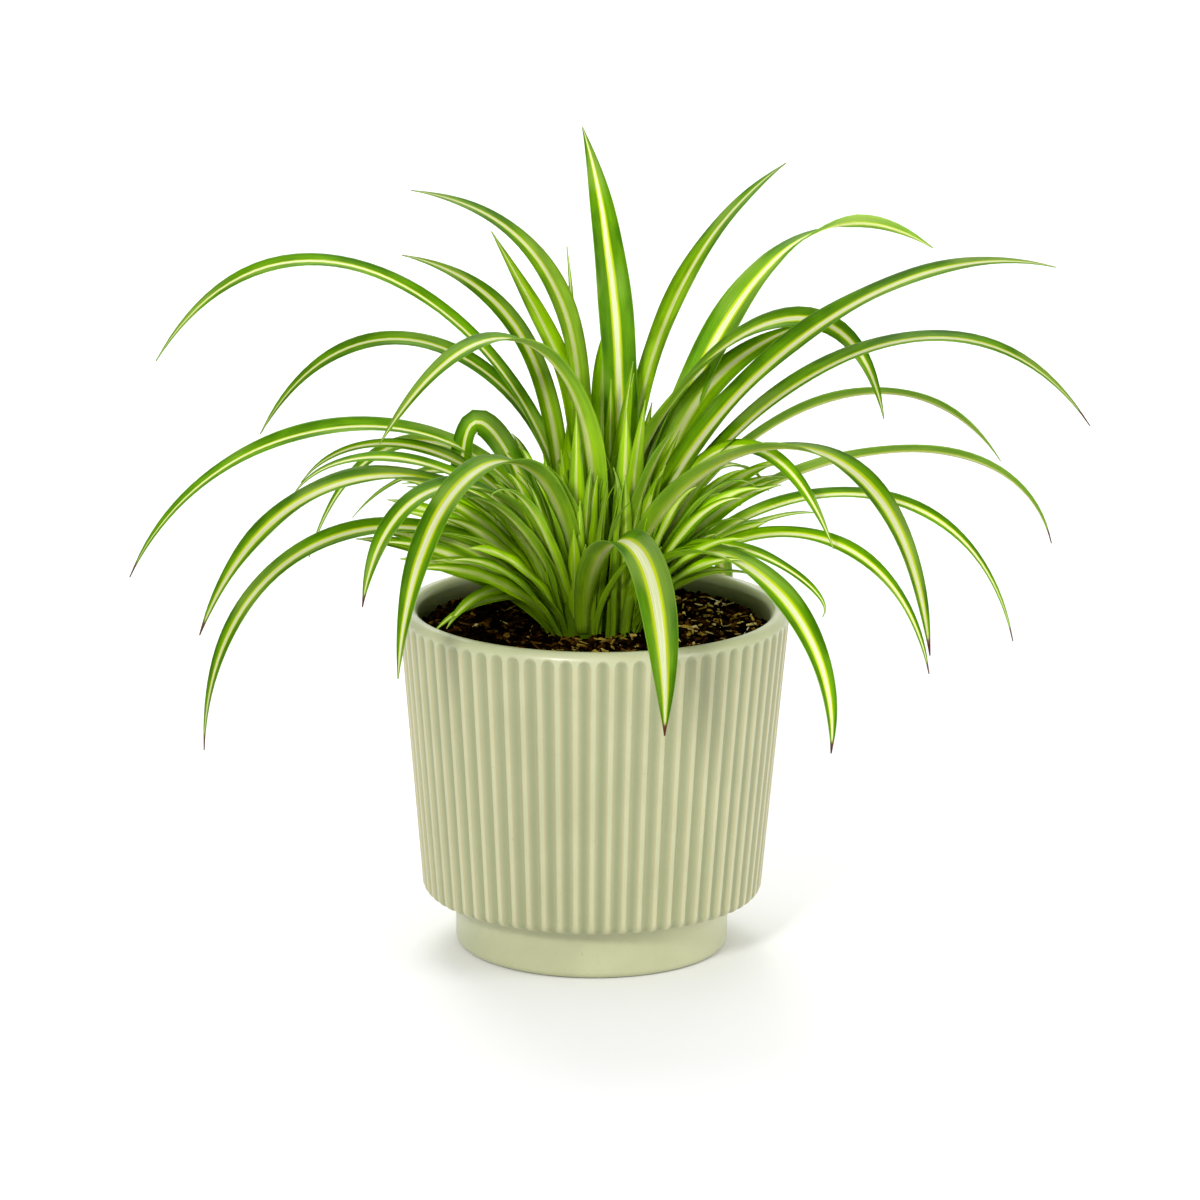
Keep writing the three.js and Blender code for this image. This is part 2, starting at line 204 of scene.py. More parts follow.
LEFT_LEAVES = [
    leaf(168, (-20, 74), (82, 162), (134, 76), 7, (-40, -14, -44), waist=1.1, taper=0.32, stripe=0.5),
    leaf(155, (-18, 76), (68, 120), (109, 48), 6.5, (0, -24, -66), taper=0.36, stripe=0.45),
    leaf(140, (-4, 56), (-20, 131), (70, 130), 8.8, (-6, -12), -2, waist=0.95, lime=150, stripe=0.55),
    leaf(150, (1, 54), (0, 106), (61, 111), 7.5, (-26, -32), 2, lime=100, stripe=0.65),
    leaf(125, (-38, 56), (2, 84), (42, 118), 8.8, (0, 5), lime=210, stripe=0.55),
    leaf(172, (-1, 78), (108, 78), (140, 6), 8.5, (-6, -36), 4, brown=1, stripe=0.5),
    leaf(152, (6, 55), (69, 77), (93, 7), 6.5, (-20, -50), 4, bright=0.3),
    leaf(178, (4, 52), (62, 70), (82, 42), 6.5, (-18, -20), 4, bright=0.3),
    leaf(101, (2, 60, -2), (4, 90, -3), (16, 117, -2), 4, (40, 40), 1, lime=150, stripe=0.9),
    leaf(162, (4, 46), (44, 58), (70, 26), 7, (-10, -10), 4, bright=0.3),
    leaf(158, (6, 42), (33, 91, 5), (29, 40, 10), 8.5, (-28, -28, -30, -66, -85), 4, taper=0.14, lime=45,
         stripe=0.5),
    leaf(104, (8, 46), (66, 54), (76, -30), 9, seat=4),
    leaf(114, (8, 44), (60, 56), (68, -36), 9.5, seat=4, brown=1),
    leaf(126, (7, 42), (50, 48), (58, 4), 8, seat=4),
]
FRONT_LEFT_LEAVES = [
    leaf(215, (-20, 62), (22, 140), (78, 69), 11, (18, -12), -3, lime=110, stripe=0.8),
    leaf(196, (8, 55), (90, 82), (119, 5), 12, (12, -24), 4, brown=1, stripe=1.0),
    leaf(188, (5, 54), (71, 71), (87, 45), 7, (-24, -12), 4, bright=0.3),
    leaf(200, (30, 54), (118, 54), (120, -30), 8, (-34, -14), 4, brown=1),
    leaf(222, (5, 55), (75, 78), (85, 21), 10, (-10, -10), 4, brown=1),
    leaf(232, (-5, 78), (78, 84), (86, 1), 11.5, waist=0.5, stripe=1.0),
    leaf(200, (6, 18), (30, 20), (40, 3), 5.5, (-18, -28), 4),
    leaf(290, (-4, 36), (74, 70), (72, -15), 13, (15, 0), 8, brown=1, waist=0.5, lime=50, stripe=0.95),
    leaf(199, (6, 15), (32, 15), (44.5, 1.5), 3.4, (-18, -28), 4),
]
FRONT_RIGHT_LEAVES = [
    leaf(350, (-1, 56), (72, 134), (133, 122), 12, (48, 12), 2),
    leaf(343, (4, 58), (98, 143), (147, 76), 11, (46, -2), brown=1),
    leaf(349, (24, 52), (105, 71), (121, 2), 7.5, (24, 8), 4, brown=1),
    leaf(325, (-4, 56), (98, 113), (113, 8), 12, (-28, 14), 2, brown=1, stripe=0.9),
    leaf(335, (4, 55), (43, 91), (68, 33), 6.5, (36, 30), 4, lime=110),
    leaf(340, (24, 44), (86, 51), (98, -6), 7.5, (28, 8), 4, brown=1),
    leaf(315, (10, 53), (92, 32), (87, -24), 11, (0, 5), 4, brown=1, stripe=0.9),
    leaf(328, (4, 54), (79, 24), (69, 13), 6, (10, 10), 4),
]
RIGHT_LEAVES = [
    leaf(25, (3, 55), (40, 156), (104, 113), 11.5, (30, 36, 40, 36, 10, -44, -50), lime=90, stripe=0.6),
    leaf(14, (3, 55), (17, 83), (54, 94), 10.5, (30, 44, 56), lime=110, stripe=0.65),
    leaf(357, (-18, 64), (66, 145), (82, 67), 10, (-56, -32, -6, 44, 60), -2, lime=130),
    leaf(12, (6, 55), (82, 101), (118, 47), 8, (-54, -20), 4),
    leaf(5, (11, 49), (117, 81), (132, 23), 7.5, (-48, -24), 4, brown=1),
    leaf(31, (6, 44), (36, 58), (48, 36), 6.5, seat=4),
]
BACK_LEAVES = [
    leaf(91, (4, 60, -7), (14, 120, -2), (44, 151, 9), 12, (12, 16), -2, waist=0.9, lime=80, stripe=0.6),
    leaf(48, (5, 60), (16, 113), (82, 136), 8.5, (-6, 8), lime=150, stripe=0.5),
    leaf(58, (7, 44), (60, 60), (74, -26), 9, seat=4),
    leaf(66, (8, 46), (66, 60), (80, -36), 9.5, seat=4, brown=1),
    leaf(74, (7, 42), (56, 52), (74, -20), 9, seat=4),
    leaf(83, (8, 44), (64, 50), (74, -42), 9.5, seat=4, brown=1),
    leaf(93, (6, 40), (48, 48), (66, -14), 8, seat=4),
    leaf(96, (0, 42, 3), (6, 76, 5), (18, 94, -3), 8.5, lime=220, stripe=0.5),
]

# A crown stands at a direction and distance from the middle of the pot, and its leaves stay in its
# sector, seen from above. young is where its young leaves start and end, and their number. fan is
# the number of its fan leaves, whether they spread from the end of its sector, and how far. heart is
# the number of its upright leaves, their lowest and their highest, and lean is how far those lean to
# the right.
CROWNS = [
    dict(name="rosette_left", direction=140, distance=11, radius=6.4, sector=(97, 183),
         young=(110, 180, 3), fan=(20, True, 80), heart=(4, 62, 86), lean=(-9, 8),
         leaves=LEFT_LEAVES),
    dict(name="rosette_front_left", direction=241, distance=11, radius=8.6, sector=(183, 300),
         young=(188, 246, 4), fan=(22, False, 46), heart=(5, 50, 76), lean=(-5, 9),
         leaves=FRONT_LEFT_LEAVES),
    dict(name="rosette_front_right", direction=326, distance=11.5, radius=4.8, sector=(300, 353),
         young=(318, 350, 4), fan=(17, True, 44), heart=(4, 50, 76), lean=(-2, 18),
         leaves=FRONT_RIGHT_LEAVES),
    dict(name="rosette_right", direction=15, distance=12, radius=4.2, sector=(-7, 37),
         young=(-4, 34, 3), fan=(15, False, 44), heart=(3, 56, 82), lean=(0, 20),
         leaves=RIGHT_LEAVES),
    dict(name="rosette_back", direction=67, distance=11.5, radius=5.3, sector=(37, 97),
         young=(48, 94, 4), fan=(8, False, 60), heart=(4, 62, 84), lean=(-8, 10),
         leaves=BACK_LEAVES),
]


# ---- Helpers ----
def seeded_draw(seed):
    """Park and Miller's draw, the same on every run and as in the solids."""
    factor, modulus = 16807, 2147483647
    state = seed

    def draw(low, high):
        nonlocal state
        state = (state * factor) % modulus
        return low + (high - low) * state / modulus
    return draw


def make_mesh(name, points, faces, materials, face_materials=None):
    """An object from points in millimetres."""
    mesh = bpy.data.meshes.new(name)
    mesh.from_pydata((np.asarray(points) * MM).tolist(), [], faces)
    for material in materials:
        mesh.materials.append(material)
    if face_materials is not None:
        mesh.polygons.foreach_set("material_index", face_materials)
    mesh.polygons.foreach_set("use_smooth", [True] * len(mesh.polygons))
    mesh.update()
    piece = bpy.data.objects.new(name, mesh)
    bpy.context.scene.collection.objects.link(piece)
    return piece


def point_numbers(piece, name, values):
    """One number at each point of a piece, which its material reads."""
    attribute = piece.data.attributes.new(name, "FLOAT", "POINT")
    attribute.data.foreach_set("value", np.asarray(values, dtype=np.float32))


def corner_places(piece, name, places):
    """A UV map from one place for each corner of each face."""
    layer = piece.data.uv_layers.new(name=name)
    layer.data.foreach_set("uv", np.asarray(places, dtype=np.float32).ravel())


def clamped(value):
    return min(1.0, max(0.0, value))


def ring_faces(rings, around):
    """Quads between rings of points that each go all the way round."""
    faces = []
    for ring in range(rings - 1):
        for k in range(around):
            after = (k + 1) % around
            faces.append((ring * around + k, ring * around + after,
                          (ring + 1) * around + after, (ring + 1) * around + k))
    return faces


# ---- Node helpers ----
class Nodes:
    """Short names for the nodes of one material."""

    def __init__(self, name):
        self.material = bpy.data.materials.new(name)
        self.material.use_nodes = True
        self.tree = self.material.node_tree
        self.tree.nodes.clear()
        self.output = self.tree.nodes.new("ShaderNodeOutputMaterial")

    def add(self, kind, inputs=(), **settings):
        node = self.tree.nodes.new(kind)
        for key, value in settings.items():
            setattr(node, key, value)
        for key, value in dict(inputs).items():
            self.feed(node.inputs[key], value)
        return node

    def feed(self, socket, value):
        if isinstance(value, bpy.types.NodeSocket):
            self.tree.links.new(value, socket)
        else:
            socket.default_value = value

    def math(self, operation, first, second=0.0, clamp=False):
        node = self.add("ShaderNodeMath", {0: first, 1: second}, operation=operation, use_clamp=clamp)
        return node.outputs[0]

    def times(self, first, second):
        return self.math("MULTIPLY", first, second)

    def plus(self, first, second, clamp=False):
        return self.math("ADD", first, second, clamp)

    def minus(self, first, second):
        return self.math("SUBTRACT", first, second)

    def spread(self, value, low, high, to_low=0.0, to_high=1.0):
        """A smooth step between a low and a high value."""
        node = self.add("ShaderNodeMapRange", {
            "Value": value, "From Min": low, "From Max": high, "To Min": to_low, "To Max": to_high})
        node.interpolation_type = "SMOOTHSTEP"
        return node.outputs["Result"]

    def mix(self, share, first, second, kind="MIX"):
        """Two colours put together: a mix node keeps colours in its sockets 6 and 7."""
        node = self.add("ShaderNodeMix", {0: share, 6: first, 7: second}, data_type="RGBA",
                        blend_type=kind)
        return node.outputs[2]

    def ramp(self, value, stops):
        node = self.add("ShaderNodeValToRGB", {"Fac": value})
        ramp = node.color_ramp
        while len(ramp.elements) < len(stops):
            ramp.elements.new(0.5)
        for element, (place, colour) in zip(ramp.elements, stops):
            element.position = place
            element.color = colour
        return node.outputs["Color"]

    def number(self, name):
        return self.add("ShaderNodeAttribute", attribute_name=name).outputs["Fac"]

    def noise(self, vector, scale, detail, roughness):
        node = self.add("ShaderNodeTexNoise", {
            "Vector": vector, "Scale": scale, "Detail": detail, "Roughness": roughness})
        return node.outputs["Fac"]

    def where(self):
        return self.add("ShaderNodeTexCoord").outputs["Object"]

    def bump(self, height, strength, distance):
        node = self.add("ShaderNodeBump", {"Height": height, "Strength": strength, "Distance": distance})
        return node.outputs["Normal"]

    def finish(self, shader):
        self.tree.links.new(shader, self.output.inputs["Surface"])
        return self.material


def rgb(text):
    """A colour as written for a screen, as the numbers that light mixes in."""
    parts = [int(text[k:k + 2], 16) / 255 for k in (0, 2, 4)]
    linear = [p / 12.92 if p <= 0.04045 else ((p + 0.055) / 1.055) ** 2.4 for p in parts]
    return (*linear, 1.0)


# ---- Leaf materials ----
class LeafNodes(Nodes):
    """The nodes of one face of the blades: a pale stripe down the middle, a thin yellow line beside
    it and green beyond. across and along run from 0 to 1, and climb is in millimetres."""

    def __init__(self, name, colours):
        super().__init__(name)
        self.colours = {part: rgb(code) for part, code in colours.items()}
        where = self.add("ShaderNodeUVMap", uv_map="blade").outputs["UV"]
        split = self.add("ShaderNodeSeparateXYZ", {0: where})
        self.across, self.along = split.outputs["X"], split.outputs["Y"]
        self.tone, self.climb = self.number("tone"), self.number("climb")
        self.streaks = self.texture(22.0, 0.03, 3.0)
        self.fine = self.texture(64.0, 0.05, 2.0)
        centred = self.minus(self.across, 0.5)
        self.to_edge = self.times(self.math("ABSOLUTE", centred), 2.0)
        self.band = self.wandering_band(centred)
        self.dark = self.darkness()

    def texture(self, fineness, pace, detail, shift=0.0):
        """Texture in streaks along a blade: fineness counts across it, pace counts per millimetre."""
        place = self.add("ShaderNodeCombineXYZ", {
            "X": self.times(self.across, fineness),
            "Y": self.times(self.climb, pace),
            "Z": self.times(self.plus(self.tone, shift), 17.0)}).outputs[0]
        return self.noise(place, 1.0, detail, 0.55)

    def scaled(self, colour, factor):
        """A colour made lighter or darker by a number."""
        grey = self.add("ShaderNodeCombineXYZ", {0: factor, 1: factor, 2: factor}).outputs[0]
        return self.add("ShaderNodeVectorMath", {0: colour, 1: grey}, operation="MULTIPLY").outputs[0]

    def wandering_band(self, centred):
        """How far it is to the middle of the stripe, which wanders a little and has a streaky border."""
        sway = self.minus(self.texture(0.0, 0.03, 1.0), 0.5)
        middle = self.plus(centred, self.times(sway, 0.10))
        off_middle = self.times(self.math("ABSOLUTE", middle), 2.0)
        uneven = self.times(self.minus(self.streaks, 0.5), 0.12)
        return self.math("DIVIDE", self.plus(off_middle, uneven), self.number("stripe"))

    def darkness(self):
        """How dark the green is: more so towards the margins, and in patches."""
        outer = self.spread(self.to_edge, 0.45, 0.95)
        patches = self.spread(self.texture(1.6, 0.055, 2.0), 0.36, 0.64)
        return self.plus(self.times(outer, 0.5), self.times(patches, 0.6), clamp=True)

    def grown_colour(self):
        """The striped blade above its foot."""
        colours = self.colours
        # Painted sheen: pale grey-green patches that stand in for the sky's reflection on the blades.
        painted_sheen = self.spread(self.texture(0.9, 0.03, 1.0, shift=5.0), 0.5, 0.66, 0.0, 0.5)
        green = self.mix(self.dark, colours["blade"], colours["margin"])
        green = self.mix(painted_sheen, green, colours["painted_sheen"])
        striped = self.ramp(self.band, [
            (0.0, colours["stripe"]), (0.20, colours["stripe"]), (0.27, colours["line"]),
            (0.36, colours["line"])])
        colour = self.mix(self.spread(self.band, 0.30, 0.54), striped, green)
        colour = self.mix(self.spread(self.to_edge, 0.93, 0.99, 0.0, 0.6), colour, colours["edge"])
        return self.scaled(colour, self.spread(self.fine, 0.3, 0.7, 0.82, 1.12))

    def lime_colour(self):
        """The blade near its foot: bright lime green inside its margins, with a fainter stripe."""
        colours = self.colours
        faint = self.spread(self.climb, 50.0, 8.0, 0.0, 0.85)
        young_stripe = self.mix(faint, colours["young_stripe"], colours["young"])
        lime = self.mix(self.spread(self.band, 0.15, 0.55), young_stripe, colours["young"])
        lime = self.mix(self.times(self.dark, 0.72), lime, colours["margin"])
        return self.scaled(lime, self.spread(self.streaks, 0.3, 0.7, 0.78, 1.12))

    def dryness(self):
        """How dry it is: only the last few millimetres of some tips are."""
        ragged = self.plus(self.along, self.times(self.minus(self.fine, 0.5), 0.03))
        return self.times(self.spread(ragged, 0.965, 0.978), self.number("brown"))

    def ribs(self):
        """Fine ribs along the blade."""
        ridges = self.add("ShaderNodeTexWave", {
            "Vector": self.add("ShaderNodeCombineXYZ", {"X": self.across}).outputs[0],
            "Scale": 5.5, "Distortion": 0.0}, wave_type="BANDS", bands_direction="X").outputs["Fac"]
        height = self.plus(self.times(ridges, 0.6), self.times(self.fine, 0.4))
        return self.bump(height, 0.25, 0.00018)


def leaf_material(name, colours, roughness):
    """One face of the blades, at least this rough."""
    nodes = LeafNodes(name, colours)
    lime_share = nodes.spread(nodes.math("DIVIDE", nodes.climb, nodes.number("lime")), 1.0, 0.3)
    colour = nodes.mix(lime_share, nodes.grown_colour(), nodes.lime_colour())
    # Painted shade: darker towards the foot of each blade, down among the crowded bases.
    colour = nodes.scaled(colour, nodes.spread(nodes.climb, 0.0, 50.0, 0.4, 1.0))
    # Paler or darker by the leaf's tone, which on the fan leaves carries painted light.
    colour = nodes.scaled(colour, nodes.spread(nodes.tone, -1.0, 2.0, 0.86, 1.45))
    colour = nodes.mix(nodes.dryness(), colour, rgb("5A2E20"))
    rough = nodes.spread(nodes.streaks, 0.0, 1.0, roughness, roughness + 0.14)
    normal = nodes.ribs()
    surface = nodes.add("ShaderNodeBsdfPrincipled", {
        "Base Color": colour, "Roughness": rough, "Normal": normal, "Specular IOR Level": 0.06})
    through = nodes.add("ShaderNodeBsdfTranslucent", {
        "Color": nodes.mix(0.45, colour, rgb("C4E400")), "Normal": normal})
    both = nodes.add("ShaderNodeMixShader", {0: GLOW, 1: surface.outputs[0], 2: through.outputs[0]})
    return nodes.finish(both.outputs[0])


# ---- Leaves ----
def blade_half_width(shape, along):
    from_tip = min(1.0, (1 - along) / shape["taper"])
    from_foot = min(1.0, along / WAIST_LENGTH)
    taper = 1 - (1 - from_tip) ** TIP_CURVE
    waist = shape["waist"] + (1 - shape["waist"]) * math.sin(from_foot * math.pi / 2)
    return max(FINEST_TIP, shape["width"] / 2 * taper * waist)


def crown_centre(crown):
    direction = math.radians(crown["direction"])
    return np.array([crown["distance"] * math.cos(direction), crown["distance"] * math.sin(direction)])


def even_steps(handles, steps):
    """Points and directions at even distances along a cubic curve, and its length."""
    a, b, c, d = handles
    samples = 241

    def curve(t):
        return (1 - t) ** 3 * a + 3 * t * (1 - t) ** 2 * b + 3 * t * t * (1 - t) * c + t ** 3 * d

    t = np.linspace(0, 1, samples)[:, None]
    lengths = np.linalg.norm(np.diff(curve(t), axis=0), axis=1)
    travelled = np.concatenate([[0], np.cumsum(lengths)])
    wanted = np.linspace(0, travelled[-1], steps + 1)
    at = np.interp(wanted, travelled, t[:, 0])[:, None]
    ways = (1 - at) ** 2 * (b - a) + 2 * at * (1 - at) * (c - b) + at * at * (d - c)
    return curve(at), ways / np.linalg.norm(ways, axis=1)[:, None], travelled[-1]


def into_sector(crown, sections):
    """Moves a leaf's sections sideways in one smooth sweep, so that it stays in its crown's sector."""
    start, end = (math.radians(angle) for angle in crown["sector"])
    window = 2 * SWEEP + 1
    for inward in (np.array([-math.sin(start), math.cos(start), 0]),
                   np.array([math.sin(end), -math.cos(end), 0])):
        needed = np.maximum(0, SECTOR_GAP - (sections @ inward).min(axis=1))
        padded = np.pad(needed, 2 * SWEEP, mode="edge")
        widest = np.array([padded[k:k + window].max() for k in range(len(padded) - 2 * SWEEP)])
        moved = np.convolve(widest, np.ones(window) / window, mode="valid")
        sections = sections + moved[:, None, None] * inward
    return sections


def midrib(crown, shape):
    """Points and directions along a leaf's midrib, its length, and the way to its side."""
    heading = math.radians(shape["heading"])
    out = np.array([math.cos(heading), math.sin(heading), 0.0])
    side = np.array([-math.sin(heading), math.cos(heading), 0.0])
    foot = np.array([*crown_centre(crown), LEAF_FOOT - shape["sunk"]]) + out * shape["seat"]

    def place(handle):
        outwards, upwards, sideways = (*handle, 0)[:3]
        return foot + out * outwards + side * sideways + np.array([0, 0, upwards])

    handles = [foot, place(shape["rise"]), place(shape["fall"]), place(shape["tip"])]
    return *even_steps(handles, BLADE_STEPS), side


def turned_about(way, side, degrees):
    """The directions across a blade and out of its upper face, where its midrib goes this way."""
    across = side - way * side.dot(way)
    across /= np.linalg.norm(across)
    turn = math.radians(degrees)
    across = across * math.cos(turn) + np.cross(way, across) * math.sin(turn)
    return across, np.cross(way, across)


def blade(crown, shape, draw):
    """The sections of one leaf, a folded, slightly wavy strip with two faces, and its length."""
    points, ways, length, side = midrib(crown, shape)
    wave_phase, wave_count = draw(0, ROUND_TURN), draw(2.5, 4.5)
    turn_places = np.linspace(0, 1, len(shape["turn"]))
    s = np.linspace(1, -1, BLADE_COLUMNS + 1)
    sections = []
    for step in range(BLADE_STEPS + 1):
        along = step / BLADE_STEPS
        across, upper = turned_about(
            ways[step], side, float(np.interp(along, turn_places, shape["turn"])))
        half = blade_half_width(shape, along)
        fold = FOLD_AT_FOOT + (FOLD_AT_TIP - FOLD_AT_FOOT) * min(1.0, along / FOLD_LENGTH)
        lift = half * fold * (np.abs(s) ** FOLD_CURVE)
        swing = math.sin(along * wave_count * ROUND_TURN + wave_phase)
        ripple = RIPPLE * shape["wave"] * half * swing * s * np.abs(s)
        reach = half * math.sqrt(1 - fold * fold)
        upper_face = points[step] + np.outer(s * reach, across) + np.outer(lift + ripple, upper)
        raised = MIDRIB_THICKNESS * (1 - np.abs(s)) ** MIDRIB_CURVE * min(1.0, half / MIDRIB_FULL)
        under_face = upper_face - np.outer(MARGIN_THICKNESS + raised, upper)
        sections.append(np.vstack([upper_face, under_face[::-1]]))
    return into_sector(crown, np.array(sections)), length


def young_leaves(crown, seed):
    """Narrow leaves that lean outwards all over the crown's sector, and one almost upright."""
    draw = seeded_draw(seed)
    start, end, count = crown["young"]
    for index in range(count):
        heading = start + (end - start) * (index + draw(0.2, 0.8)) / count
        reach, height, level = draw(38, 62), draw(24, 60), draw(0.8, 1)
        yield leaf(heading, (reach * 0.26, height * 0.55), (reach * 0.66, height),
                   (reach, height * level), draw(4.5, 7), (draw(-20, 20), 0), draw(1, 4))
    height = draw(56, 84)
    yield leaf(crown["direction"], (0, height * 0.4), (draw(2, 6), height * 0.75),
               (draw(9, 20), height), draw(7, 9), (0, 0), draw(-2, 2))


def fan_leaves(crown, seed):
    """Straight narrow leaves that fan out from one end of the crown's sector."""
    draw = seeded_draw(seed)
    start, end = crown["sector"]
    count, towards_end, spread = crown["fan"]
    for index in range(count):
        turned = spread * ((index + draw(0, 1)) / count) ** FAN_BIAS
        heading = end - turned if towards_end else start + turned
        sideways = math.cos(math.radians(heading))
        slope = math.radians(draw(30, 80) if abs(sideways) > FAN_TO_A_SIDE else draw(60, 84))
        length = draw(44, 82)
        reach, height = length * math.cos(slope), min(FAN_HEIGHT, length * math.sin(slope))
        level = draw(0.80, 0.92)
        # Painted light: fan leaves are made paler, against the shade they cast on each other.
        yield leaf(
            heading, (reach * 0.14, height * 0.36), (reach * 0.56, height * level),
            (reach, height * (level + draw(0, 0.1))), draw(4.4, 6.8),
            (draw(45, 75) * sideways, draw(50, 80) * sideways), crown["radius"] * draw(0.5, 1.0),
            waist=0.75, lime=draw(60, 130), sunk=2.0, stripe=1.1, wave=2.0, bright=1.0)


def heart_leaves(crown, seed):
    """Broad upright leaves in the middle of the plant, with a face to the front."""
    draw = seeded_draw(seed)
    front, back = 270, 90
    facing = front if crown["direction"] > 180 else back
    to_right = 1 if facing == front else -1
    count, lowest, highest = crown["heart"]
    for _ in range(count):
        height = draw(lowest, highest)
        lean = draw(*crown["lean"]) * to_right
        yield leaf(
            facing + draw(-14, 14), (draw(-3, 1), height * 0.35, lean * 0.1),
            (draw(-2, 3), height * 0.75, lean * 0.5), (draw(-6, 3), height, lean), draw(7.5, 10),
            (draw(-20, 20), draw(-20, 20)), draw(-4, 3), waist=0.9, taper=0.85, lime=130, stripe=0.5,
            bright=-0.4)


def sheath_leaves(crown, seed):
    """Bases of leaves packed round the crown, from the mix upwards and outwards."""
    draw = seeded_draw(seed)
    count = round(crown["radius"] * SHEATHS_PER_RADIUS)
    for index in range(count):
        heading = crown["direction"] - 180 + 360 * (index + draw(0, 0.6)) / count
        in_front = any(abs(heading - clear) < FRONT_CLEAR for clear in FRONT_LEAVES)
        height = draw(30, 60)
        reach = draw(10, 30) * (1 - FRONT_SHORTER * max(0.0, -math.sin(math.radians(heading))))
        yield leaf(
            heading, (0.5, height * 0.35), (reach * 0.35, height * 0.7), (reach, height),
            draw(3.2, 5.4), (draw(-15, 15), draw(-30, 30)),
            crown["radius"] * draw(0.7, 0.98) * (STOOD_BACK if in_front else 1.0),
            lime=draw(60, 120), **SHEATH)


def seam_leaves(crown, seed):
    """Bases of leaves that fill the seams between this crown and its neighbours."""
    draw = seeded_draw(seed)
    centre = crown_centre(crown)
    start, end = crown["sector"]
    for angle in (start + SEAM_TURN, end - SEAM_TURN):
        for distance in SEAM_PLACES:
            place = distance * np.array([math.cos(math.radians(angle)), math.sin(math.radians(angle))])
            off_centre = place - centre
            height = draw(24, 54)
            heading = math.atan2(off_centre[1], off_centre[0])
            lean = place[0] * draw(0.6, 1.8)
            out, side = lean * math.cos(heading), -lean * math.sin(heading)
            yield leaf(
                math.degrees(heading), (0.1 * out, height * 0.35, 0.1 * side),
                (0.5 * out, height * 0.75, 0.5 * side), (out, height, side), draw(3.2, 4.8),
                (draw(-15, 15), draw(-30, 30)), float(np.linalg.norm(off_centre)),
                lime=draw(70, 120), **SHEATH)


def crown_core(crown):
    """The stem in the mix and the cone that the leaf bases are packed round."""
    radius = crown["radius"]
    profile = [(CLOSED, CROWN_FOOT), *[(radius * share, height) for share, height in CORE_PROFILE],
               (CLOSED, CORE_TOP)]
    x, y = crown_centre(crown)
    angles = np.linspace(0, 2 * math.pi, CORE_AROUND, endpoint=False)
    points = [(x + r * math.cos(a), y + r * math.sin(a), z) for r, z in profile for a in angles]
    return np.array(points), ring_faces(len(profile), CORE_AROUND)


def blade_faces():
    """The faces of one blade: the corners of each, as steps and points of a section, and whether it
    is part of the under face."""
    faces = []
    for step in range(BLADE_STEPS):
        for k in range(SECTION_SIZE):
            after = (k + 1) % SECTION_SIZE
            under = BLADE_COLUMNS < k < SECTION_SIZE - 1
            faces.append(([(step, k), (step, after), (step + 1, after), (step + 1, k)], under))
    last = BLADE_STEPS
    for k in range(BLADE_COLUMNS):
        low_k = SECTION_SIZE - 1 - k
        faces.append(([(0, k), (0, low_k), (0, low_k - 1), (0, k + 1)], False))
        faces.append(([(last, k), (last, k + 1), (last, low_k - 1), (last, low_k)], False))
    return faces


def on_blade(step, k):
    """Where a section's point lies across and along its blade, both from 0 to 1."""
    column = k if k <= BLADE_COLUMNS else SECTION_SIZE - 1 - k
    return column / BLADE_COLUMNS, step / BLADE_STEPS


def on_sheet(step, k, low, high):
    """Where it lies on the sheet that holds every blade: the upper face is the row's first half."""
    part, along = on_blade(step, k)
    across = 0.5 * part if k <= BLADE_COLUMNS else 1 - 0.5 * part
    return SHEET_MARGIN + (1 - 2 * SHEET_MARGIN) * along, low + (high - low) * across


def core_sheet_places(face, low, row_height):
    """Where a core's face lies on that sheet, in a thin strip."""
    rows = [k // CORE_AROUND for k in face]
    turns = [k % CORE_AROUND for k in face]
    if max(turns) - min(turns) > 1:
        turns = [turn or CORE_AROUND for turn in turns]
    return [(turn / CORE_AROUND, low + CORE_FILL * row * row_height) for turn, row in zip(turns, rows)]


class RosetteMesh:
    """The points and faces of one crown, and what its materials read at each of them."""

    def __init__(self, rows):
        self.row_height = 1 / rows
        self.pattern = blade_faces()
        self.points, self.faces, self.kinds = [], [], []
        self.size = 0
        self.numbers = {}
        self.blade_places, self.sheet_places = [], []

    def add_points(self, points, **numbers):
        self.points.append(points)
        self.size += len(points)
        for name, value in numbers.items():
            values = [value] * len(points) if np.isscalar(value) else value
            self.numbers.setdefault(name, []).extend(values)

    def add_blade(self, row, sections, length, shape, tone, stripe):
        start = self.size
        climb = np.repeat(np.linspace(0, length, BLADE_STEPS + 1), SECTION_SIZE).tolist()
        self.add_points(sections.reshape(-1, 3), tone=tone, brown=shape["brown"], stripe=stripe,
                        climb=climb, lime=shape["lime"])
        low, high = row * self.row_height, (row + ROW_FILL) * self.row_height
        for corners, under in self.pattern:
            self.faces.append([start + step * SECTION_SIZE + k for step, k in corners])
            self.kinds.append(int(under))
            self.blade_places += [on_blade(step, k) for step, k in corners]
            self.sheet_places += [on_sheet(step, k, low, high) for step, k in corners]

    def add_core(self, row, points, faces):
        start = self.size
        self.add_points(points, tone=0.0, brown=0.0, stripe=1.0, climb=0.0, lime=60.0)
        low = row * self.row_height
        near_margin_at_foot = (0.9, 0.02)
        for face in faces:
            self.faces.append([start + k for k in face])
            self.kinds.append(0)
            self.blade_places += [near_margin_at_foot] * len(face)
            self.sheet_places += core_sheet_places(face, low, self.row_height)

    def finish(self, name, materials):
        piece = make_mesh(name, np.vstack(self.points), self.faces, materials, self.kinds)
        for number, values in self.numbers.items():
            point_numbers(piece, number, values)
        corner_places(piece, "OFBake", self.sheet_places)
        corner_places(piece, "blade", self.blade_places)
        return piece


